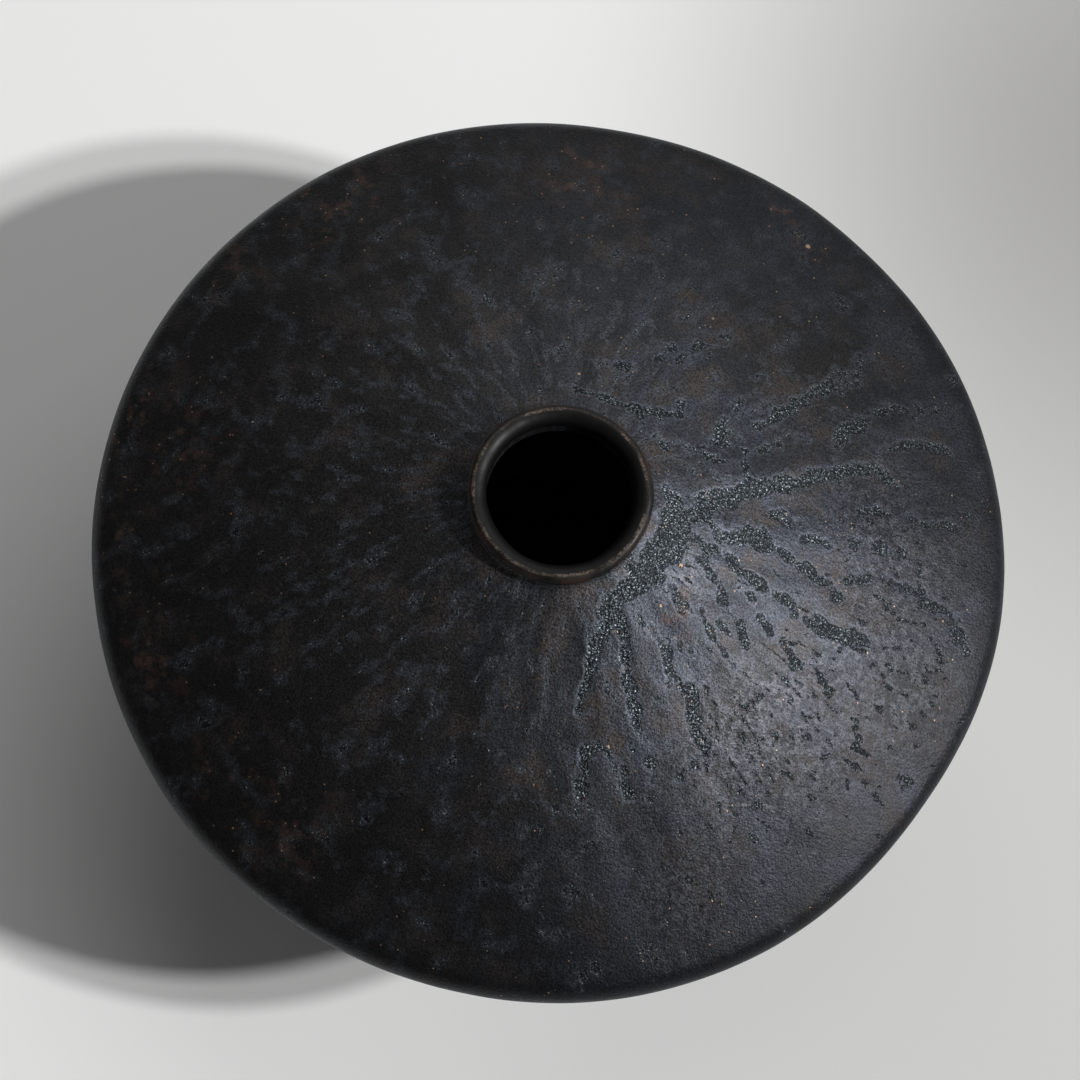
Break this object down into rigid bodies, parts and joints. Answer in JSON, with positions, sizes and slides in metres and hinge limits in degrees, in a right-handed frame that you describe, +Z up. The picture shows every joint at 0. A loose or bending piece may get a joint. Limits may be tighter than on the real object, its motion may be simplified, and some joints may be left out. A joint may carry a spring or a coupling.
{
  "type": "clay pot",
  "caption": "Squat black clay pot with a deep round-bottomed body, a shallow cone-shaped shoulder, a very short neck with a thick lip, and a foot ring; holds water or a few stems.",
  "frame": {"origin": "middle of the ring the pot stands on, at table height", "axes": "+Z up along the pot's axis of turning; +X and +Y lie in the table's plane"},
  "size_m": [0.22, 0.22, 0.125],
  "materials": {
    "black_glaze": "satin black glaze, blue-grey bloom, granular crystalline runs and rust-brown breaks",
    "worn_rim": "satin black glaze, broken to brown and rubbed bright along the crest",
    "inner_glaze": "thin dull black glaze",
    "bare_clay": "unglazed dark clay, matt and slightly gritty"
  },
  "bodies": {
    "root": {"foot_ring": "bare_clay", "floor_disc": "inner_glaze", "lower_bowl": "black_glaze", "seam_coil": "inner_glaze", "shoulder": "black_glaze", "neck_collar": "black_glaze", "lip_coil": "worn_rim"}
  },
  "joints": []
}
